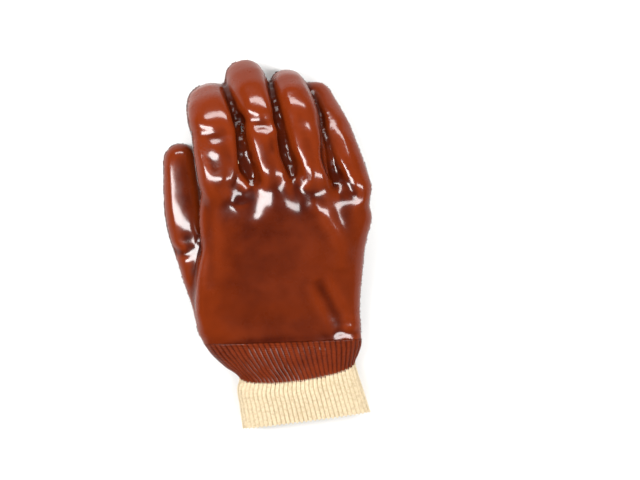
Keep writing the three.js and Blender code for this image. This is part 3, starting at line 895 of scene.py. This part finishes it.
# Sections of the wrist's outside in the frame's millimetres, from the seam to the hem.
# down: 0 at the seam, 1 at the dip line of the coat, 2 at the hem.
Section = namedtuple("Section", "down left right low high")
WRIST_SECTIONS = [
    Section(down=0.00, left=-56.32, right=51.32, low=0.46, high=31.54),
    Section(down=0.30, left=-51.7, right=50.3, low=0.34, high=30.4),
    Section(down=0.62, left=-44.6, right=47.8, low=0.16, high=28.6),
    Section(down=1.00, left=-35.4, right=44.6, low=0.0, high=27.0),
    Section(down=1.16, left=-37.4, right=45.3, low=0.0, high=27.8),
    Section(down=1.50, left=-37.6, right=47.4, low=0.0, high=27.0),
    Section(down=2.00, left=-37.6, right=50.4, low=0.0, high=25.1),
]
# Squareness of the sections, and the points on one before its ribs are spaced evenly
WRIST_POWER = 2.5
RING_POINTS = 1441
# The dip line at the wrist's sides, how far it sags in its middle, and the hem
DIP_LINE = -91.2
DIP_SAG = 7.0
HEM = -125.3
# The middle of the dip line, across the wrist
BAND_MIDDLE = 4.62
# How far the wrist starts behind the hand's mouth
SEAM_GAP = 0.04
# The way round the bare wrist, which the stitches share out
WRIST_GIRTH = 193.0
# First and last row of stitches, counted like the sections
FIRST_STITCHES = 0.985
LAST_STITCHES = 1.985


def wrist_size(name, down):
    """One size of the wrist's outside at a place between the seam and the hem."""
    knots = np.array([row.down for row in WRIST_SECTIONS])
    values = np.array([getattr(row, name) for row in WRIST_SECTIONS])
    slopes = np.gradient(values, knots)
    k = int(np.clip(np.searchsorted(knots, down, side="right") - 1, 0, len(knots) - 2))
    span = knots[k + 1] - knots[k]
    t = (down - knots[k]) / span
    return (
        (2 * t**3 - 3 * t**2 + 1) * values[k] + (t**3 - 2 * t**2 + t) * span * slopes[k]
        + (-2 * t**3 + 3 * t**2) * values[k + 1] + (t**3 - t**2) * span * slopes[k + 1]
    )


def wrist_ring(down, inset, turns):
    """Points round the wrist at one place, in metres, drawn in by an inset in millimetres."""
    left = wrist_size("left", down) + inset
    right = wrist_size("right", down) - inset
    low = wrist_size("low", down) + inset
    high = wrist_size("high", down) - inset
    dense = np.linspace(0.0, 2.0 * np.pi, RING_POINTS)
    c, s = np.cos(dense), np.sin(dense)
    x = (left + right) / 2 + (right - left) / 2 * np.sign(c) * np.abs(c) ** (2 / WRIST_POWER)
    z = (low + high) / 2 + (high - low) / 2 * np.sign(s) * np.abs(s) ** (2 / WRIST_POWER)
    walked = np.concatenate([[0.0], np.cumsum(np.hypot(np.diff(x), np.diff(z)))])
    targets = (np.asarray(turns) % 1.0) * walked[-1]
    x, z = np.interp(targets, walked, x), np.interp(targets, walked, z)
    half = max((wrist_size("right", 1.0) - wrist_size("left", 1.0)) / 2 - inset, 1.0)
    u = np.clip(np.abs((x - BAND_MIDDLE) / half), 0.0, 1.0)
    seam = seam_y(x * MM) / MM - SEAM_GAP
    dip = DIP_LINE - DIP_SAG * np.sqrt(1.0 - u * u)
    y = seam + (dip - seam) * down if down <= 1.0 else dip + (HEM - dip) * (down - 1.0)
    return np.stack([x, y, z], axis=1) * MM


def wrist_tube(name, rows_outside, rows_inside, around, ragged=None):
    """A closed tube round the wrist, from lists of (down, inset) outside and inside."""
    turns = np.arange(around) / around
    rows = [*rows_outside, *reversed(rows_inside)]
    rings = [wrist_ring(down, inset, turns) for down, inset in rows]
    if ragged is not None:
        ragged(rings, rows, turns)
    faces = []
    total = len(rings)
    for r in range(total):
        here, there = r * around, ((r + 1) % total) * around
        for i in range(around):
            j = (i + 1) % around
            faces.append((here + i, here + j, there + j, there + i))
    mesh = mesh_from(name, np.concatenate(rings), faces)
    write_attribute(mesh, "turn", np.tile(turns, total))
    write_attribute(mesh, "down", np.repeat([down for down, _ in rows], around))
    outside = np.repeat([1.0] * len(rows_outside) + [0.0] * len(rows_inside), around)
    write_attribute(mesh, "outside", outside)
    return mesh


def rib_tree():
    """A node tree that presses knitted ribs into a tube round the wrist."""
    bench, given = new_tree("Knitted Ribs", [
        ("Tube", "Geometry", None),
        ("Ribs", "Float", 64.0),
        ("Rib Depth", "Float", 0.0007),
        ("Courses", "Float", 30.0),
        ("Material", "Material", None),
    ], "Ribbed Tube")
    phase = bench.times(bench.times(bench.stored("turn"), given["Ribs"]), math.pi)
    crest = bench.math("POWER", bench.math("ABSOLUTE", bench.math("COSINE", phase)), 0.75)
    course = bench.times(bench.stored("down"), given["Courses"])
    geometry = given["Tube"]
    for name, value in (("crest", crest), ("course", course)):
        store = bench.add(
            "GeometryNodeStoreNamedAttribute", {"data_type": "FLOAT", "domain": "POINT"},
            Geometry=geometry, Name=name, Value=value)
        geometry = store.outputs["Geometry"]
    depth = bench.times(given["Rib Depth"], bench.stored("ribbed"))
    sink = bench.times(bench.math("SUBTRACT", crest, 1.0), depth)
    outward = bench.add("GeometryNodeInputNormal").outputs["Normal"]
    moved = bench.add(
        "GeometryNodeSetPosition", Geometry=geometry, Offset=bench.scaled(outward, sink))
    return end_tree(bench, moved.outputs["Geometry"], given["Material"])


def press_ribs(obj, wrist, depth, courses, material):
    """Presses the wrist's ribs into a tube of its own."""
    tree = bpy.data.node_groups.get("Knitted Ribs") or rib_tree()
    run_nodes(obj, tree, {
        "Ribs": float(wrist.rib_count),
        "Rib Depth": depth,
        "Courses": courses,
        "Material": material,
    })


def dripped(rings, rows, turns):
    """Makes the coat's lower edge ragged, where the liquid coat ran along the ribs."""
    drip = np.zeros(len(turns))
    for k, (waves, height) in enumerate(((11, 0.45), (37, 0.35), (64, 0.40))):
        drip += height * MM * np.sin(2 * np.pi * waves * turns + 1.7 * k)
    wander = np.array([noise.noise(Vector((40.0 * t, 3.0, 7.0))) for t in turns])
    drip = (drip * 0.6 + wander * 0.6 * MM) * np.minimum(1.0, 40 * turns * (1 - turns))
    for ring, (down, _) in zip(rings, rows):
        ring[:, 1] += drip * max(down - 0.7, 0.0) / 0.3


class GLOVE_OT_band(bpy.types.Operator):
    """Make the coated part of the ribbed wrist, from the seam to the dip line"""

    bl_idname = "glove.band"
    bl_label = "Coated Ribs"

    def execute(self, context):
        wrist = context.scene.glove_wrist
        rows = 25
        outside = [(0.0, 0.75), (0.004, 0.28), (0.014, 0.06)]
        outside += [(0.03 + 0.93 * k / rows, 0.0) for k in range(rows + 1)]
        outside += [(0.982, 0.12), (0.996, 0.45)]
        inside = [(0.0, 1.2), (0.25, 1.2), (0.5, 1.2), (0.75, 1.2), (0.994, 1.1)]
        mesh = wrist_tube("coated_ribs", outside, inside, wrist.rib_count * 12, dripped)
        points = positions_of(mesh)
        down = stored_numbers(mesh, "down")
        # the ribs are filled with coat at the seam, beside the thumb and in patches
        beside_thumb = smooth_step(-points[:, 0], 0.030, 0.052)
        ribbed = smooth_step(down, 0.0, 0.14) * (1.0 - 0.85 * beside_thumb)
        ribbed = ribbed * stored_numbers(mesh, "outside")
        ribbed *= 1.0 - 0.35 * smooth_step(down, 0.9, 1.0)
        ribbed *= 1.0 - 0.5 * smooth_step(noise_field(points, 0.011, 21), 0.0, 0.5)
        write_attribute(mesh, "ribbed", ribbed)
        band = new_object("coated_ribs", mesh)
        material = rib_coat_material(context.scene.glove_coat)
        press_ribs(band, wrist, wrist.rib_depth, 22.0, material)
        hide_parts("pvc_rib_band")
        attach(band, "root")
        return {"FINISHED"}


def stitch_tree():
    """A node tree that lays one knitted stitch on each point, along its wale."""
    bench, given = new_tree("Rib Stitches", [
        ("Places", "Geometry", None),
        ("Stitch Width", "Float", 0.0016),
        ("Stitch Height", "Float", 0.0013),
        ("Yarn Radius", "Float", 0.0003),
        ("Material", "Material", None),
    ], "Stitches")
    legs = bench.add("GeometryNodeJoinGeometry")
    profile = bench.add("GeometryNodeCurvePrimitiveCircle", Resolution=5, Radius=given["Yarn Radius"])
    half = bench.times(given["Stitch Width"], 0.5)
    # each leg's start, middle and end: across in half widths, along in heights, up in radii
    leg_points = ((0.14, -0.62, -0.35), (0.62, 0.05, 0.85), (0.80, 0.72, -0.35))
    for side in (-1.0, 1.0):
        start, middle, end = [
            bench.add(
                "ShaderNodeCombineXYZ",
                X=bench.times(half, side * across),
                Y=bench.times(given["Stitch Height"], along),
                Z=bench.times(given["Yarn Radius"], rise)).outputs["Vector"]
            for across, along, rise in leg_points
        ]
        curve = bench.add(
            "GeometryNodeCurveQuadraticBezier", Resolution=4, Start=start, Middle=middle, End=end)
        leg = bench.add(
            "GeometryNodeCurveToMesh", Curve=curve.outputs["Curve"],
            Profile_Curve=profile.outputs["Curve"], Fill_Caps=True)
        bench.put(leg.outputs["Mesh"], legs.inputs["Geometry"])
    facing = bench.add("FunctionNodeAxesToRotation", {"primary_axis": "Z", "secondary_axis": "Y"})
    bench.put(bench.stored("facing", "FLOAT_VECTOR"), facing.inputs[0])
    bench.put(bench.stored("wale", "FLOAT_VECTOR"), facing.inputs[1])
    placed = bench.add(
        "GeometryNodeInstanceOnPoints", Points=given["Places"],
        Instance=legs.outputs["Geometry"], Rotation=facing.outputs["Rotation"],
        Scale=bench.stored("size"))
    return end_tree(bench, placed.outputs["Instances"], given["Material"])


def stitch_places(rib_count, course):
    """Points on the crests of the bare ribs, with their directions."""
    turns = np.arange(rib_count) / rib_count
    length = -(HEM - DIP_LINE) - DIP_SAG * 0.6
    rows = int(round(length * MM / course))
    rings = []
    for k in range(rows + 1):
        down = FIRST_STITCHES + (LAST_STITCHES - FIRST_STITCHES) * k / rows
        rings.append(wrist_ring(down, 0.12, turns))
    grid = np.array(rings)
    wale = np.gradient(grid, axis=0)
    wale /= np.linalg.norm(wale, axis=2, keepdims=True)
    round_way = np.roll(grid, -1, axis=1) - np.roll(grid, 1, axis=1)
    facing = np.cross(wale, round_way)
    facing /= np.linalg.norm(facing, axis=2, keepdims=True)
    middle = grid.mean(axis=1, keepdims=True)
    outward = np.sign(np.einsum("ijk,ijk->ij", facing, grid - middle))[..., None]
    return grid.reshape(-1, 3), (facing * outward).reshape(-1, 3), (-wale).reshape(-1, 3)


class GLOVE_OT_cuff(bpy.types.Operator):
    """Make the knitted cuff, with a stitch on every place of its ribs"""

    bl_idname = "glove.cuff"
    bl_label = "Knitted Cuff"

    def execute(self, context):
        wrist = context.scene.glove_wrist
        # rows of the tube: a place counted like the sections, and an inset in millimetres
        tucked = [(-0.13, 3.4), (0.0, 3.2), (0.3, 1.9), (0.62, 1.9), (0.93, 1.9), (0.96, 1.6)]
        bare = [(0.985 + 1.0 * k / 30, 0.35) for k in range(31)]
        outside = [*tucked, *bare, (1.995, 0.6)]
        inside = [(-0.13, 5.0), (0.0, 4.9), (0.3, 3.4), (0.62, 3.4), (0.96, 3.2)]
        inside += [(1.0 + 0.98 * k / 12, 2.0) for k in range(13)] + [(1.994, 1.4)]
        mesh = wrist_tube("knit_tube", outside, inside, wrist.rib_count * 10)
        down = stored_numbers(mesh, "down")
        hem_fade = 1.0 - 0.5 * smooth_step(down, 1.97, 2.0)
        write_attribute(mesh, "ribbed", smooth_step(down, 0.90, 1.0) * hem_fade)
        cuff = new_object("cuff_knit", mesh)
        cotton = cotton_material(wrist)
        press_ribs(cuff, wrist, wrist.rib_depth * 1.25, 28.0, cotton)
        points, facing, wale = stitch_places(wrist.rib_count, wrist.course)
        mesh = mesh_from("stitch_places", points, [])
        write_vectors(mesh, "facing", facing)
        write_vectors(mesh, "wale", wale)
        jitter = np.array([noise.noise(Vector(p) * 900.0) for p in points])
        write_attribute(mesh, "size", 1.0 + 0.16 * jitter)
        stitches = new_object("cuff_stitches", mesh)
        run_nodes(stitches, stitch_tree(), {
            "Stitch Width": WRIST_GIRTH * MM / wrist.rib_count * 0.62,
            "Stitch Height": wrist.course,
            "Yarn Radius": wrist.yarn,
            "Material": cotton,
        })
        # the stitches lie on the crests, so they take the cotton's colour without the painted shade
        write_attribute(stitches.data, "crest", np.full(len(stitches.data.vertices), 0.95))
        for piece in (cuff, stitches):
            raise_to_floor(piece.data)
            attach(piece, "root")
        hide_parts("knit_cuff")
        return {"FINISHED"}


# The stage

# Soft lights: place, width and height, strength, and whether they show in the gloss
LIGHTS = {
    "left_light": ((-0.66, 0.16, 0.84), (0.22, 1.0), 14.0, True),
    "right_light": ((0.62, -0.10, 0.86), (0.24, 0.9), 10.0, True),
    "far_light": ((0.10, 1.02, 0.62), (1.3, 0.22), 11.0, True),
    "fill_light": ((0.0, -1.0, 1.3), (1.2, 0.8), 9.0, False),
}
LIGHT_AIM = Vector((0.0, 0.0, 0.03))
# Half the floor's side, and how far it lies under the glove
FLOOR_HALF = 3.0
FLOOR_DROP = 0.0004
# What the picture takes in at a level over the floor: its middle and its width
VIEW_LEVEL = 0.025
VIEW_MIDDLE = (0.0317, -0.0042)
VIEW_WIDTH = 0.4352
SENSOR_WIDTH = 36.0


def soft_light(name, place, size, power, in_gloss):
    """A soft rectangular light that looks at the glove."""
    data = bpy.data.lights.new(name, "AREA")
    data.shape = "RECTANGLE"
    data.size, data.size_y = size
    data.energy = power
    light = bpy.data.objects.new(name, data)
    light.location = place
    light.rotation_euler = (LIGHT_AIM - Vector(place)).to_track_quat("-Z", "Y").to_euler()
    light.visible_glossy = in_gloss
    bpy.context.scene.collection.objects.link(light)


class GLOVE_OT_stage(bpy.types.Operator):
    """Set up the plain floor, the soft lights and the camera straight above"""

    bl_idname = "glove.stage"
    bl_label = "Floor, Lights and Camera"

    def execute(self, context):
        stage = context.scene.glove_stage
        corners = [
            (x * FLOOR_HALF, y * FLOOR_HALF, -FLOOR_DROP)
            for x, y in ((-1, -1), (1, -1), (1, 1), (-1, 1))
        ]
        floor = new_object("floor", mesh_from("floor", corners, [(0, 1, 2, 3)]))
        material, bench, shader, place = new_material("plain_floor")
        tone = bench.noise(place, 3.0)
        bench.feed(
            shader, Roughness=0.9, Specular_IOR_Level=0.1,
            Base_Color=bench.mixed(tone, toned(stage.floor_colour, 0.97), stage.floor_colour))
        floor.data.materials.append(material)
        for name, (spot, size, power, in_gloss) in LIGHTS.items():
            soft_light(name, spot, size, power * stage.light_strength, in_gloss)
        world = bpy.data.worlds.new("soft_room")
        world.use_nodes = True
        background = next(node for node in world.node_tree.nodes if node.type == "BACKGROUND")
        background.inputs["Color"].default_value = (1.0, 1.0, 1.0, 1.0)
        background.inputs["Strength"].default_value = 0.04
        context.scene.world = world
        context.scene.view_settings.view_transform = "Standard"
        camera_data = bpy.data.cameras.new("camera")
        camera_data.sensor_width = SENSOR_WIDTH
        camera_data.lens = SENSOR_WIDTH * stage.camera_height / VIEW_WIDTH
        camera_data.clip_end = 20.0
        camera = bpy.data.objects.new("camera", camera_data)
        camera.location = (*VIEW_MIDDLE, stage.camera_height + VIEW_LEVEL)
        camera.rotation_euler = (0.0, 0.0, -stage.roll)
        context.scene.collection.objects.link(camera)
        context.scene.camera = camera
        return {"FINISHED"}


class GLOVE_PT_panel(bpy.types.Panel):
    """Lists the glove's pieces and their sizes"""

    bl_idname = "GLOVE_PT_panel"
    bl_label = "Work Glove"
    bl_space_type = "VIEW_3D"
    bl_region_type = "UI"
    bl_category = "Work Glove"

    def draw(self, context):
        scene = context.scene
        for title, group, operators in (
            ("Coat", scene.glove_coat, ("glove.hand",)),
            ("Grip", scene.glove_grip, ("glove.grip",)),
            ("Wrist", scene.glove_wrist, ("glove.band", "glove.cuff")),
            ("Stage", scene.glove_stage, ("glove.stage",)),
        ):
            box = self.layout.box()
            box.label(text=title)
            for name in group.bl_rna.properties.keys():
                if name not in ("rna_type", "name"):
                    box.prop(group, name)
            for operator in operators:
                box.operator(operator)


SETTINGS = {
    "glove_coat": GloveCoatSettings,
    "glove_grip": GloveGripSettings,
    "glove_wrist": GloveWristSettings,
    "glove_stage": GloveStageSettings,
}
CLASSES = (
    *SETTINGS.values(),
    GLOVE_OT_hand,
    GLOVE_OT_grip,
    GLOVE_OT_band,
    GLOVE_OT_cuff,
    GLOVE_OT_stage,
    GLOVE_PT_panel,
)


def register():
    for item in CLASSES:
        bpy.utils.register_class(item)
    for name, group in SETTINGS.items():
        setattr(bpy.types.Scene, name, bpy.props.PointerProperty(type=group))


def unregister():
    for name in SETTINGS:
        delattr(bpy.types.Scene, name)
    for item in reversed(CLASSES):
        bpy.utils.unregister_class(item)


def main():
    register()
    bpy.ops.glove.stage()
    bpy.ops.glove.hand()
    bpy.ops.glove.grip()
    bpy.ops.glove.band()
    bpy.ops.glove.cuff()


if __name__ == "__main__":
    main()
